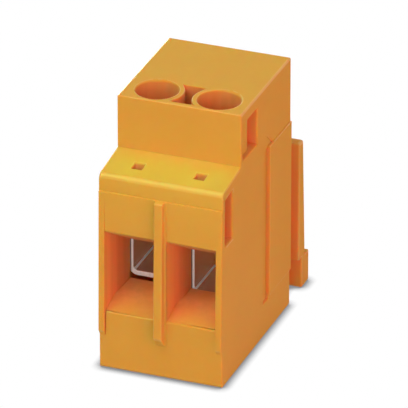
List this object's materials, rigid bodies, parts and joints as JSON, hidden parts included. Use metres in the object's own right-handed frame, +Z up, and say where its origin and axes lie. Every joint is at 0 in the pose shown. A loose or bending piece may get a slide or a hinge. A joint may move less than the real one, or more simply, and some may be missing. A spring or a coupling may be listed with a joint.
{
  "type": "feed-through terminal block",
  "caption": "Orange moulded feed-through terminal block with wire funnels, screw-driven rising clamp cages, current bars and a grooved neck that slides into a panel cut-out.",
  "frame": {"origin": "On the standing face, midway between the poles, under the face of the block that meets the panel", "axes": "+X to the right across the poles seen from the wire side, +Y from the wire side towards the panel and the lugs, +Z up along the screws"},
  "size_m": [0.0208, 0.0435, 0.0432],
  "materials": {
    "orange_plastic": "satin moulded polyamide",
    "tinned_copper": "matt tin plating",
    "plated_steel": "bright zinc plating, sheared edges",
    "screw_steel": "zinc plating"
  },
  "bodies": {
    "block": {"housing": "orange_plastic", "current_bar_left": "tinned_copper", "current_bar_right": "tinned_copper"},
    "screw_left": {"clamp_screw_left": "screw_steel"},
    "screw_right": {"clamp_screw_right": "screw_steel"},
    "cage_left": {"clamp_cage_left": "plated_steel"},
    "cage_right": {"clamp_cage_right": "plated_steel"}
  },
  "joints": [
    {"name": "screw_left_turn", "type": "hinge", "parent": "block", "child": "screw_left", "pos_m": [-0.00508, -0.018, 0.0305], "axis": [0, 0, -1], "range_deg": [-810, 2790]},
    {"name": "screw_right_turn", "type": "hinge", "parent": "block", "child": "screw_right", "pos_m": [0.00508, -0.018, 0.0305], "axis": [0, 0, -1], "range_deg": [0, 3600]},
    {"name": "cage_left_lift", "type": "slide", "parent": "block", "child": "cage_left", "axis": [0, 0, 1], "range_m": [-0.00158, 0.00543]},
    {"name": "cage_right_lift", "type": "slide", "parent": "block", "child": "cage_right", "axis": [0, 0, 1], "range_m": [0, 0.007]}
  ],
  "couplings": [
    {"joint": "screw_left_turn", "follows": "cage_left_lift", "rad_per_m": 8976},
    {"joint": "screw_right_turn", "follows": "cage_right_lift", "rad_per_m": 8976}
  ]
}
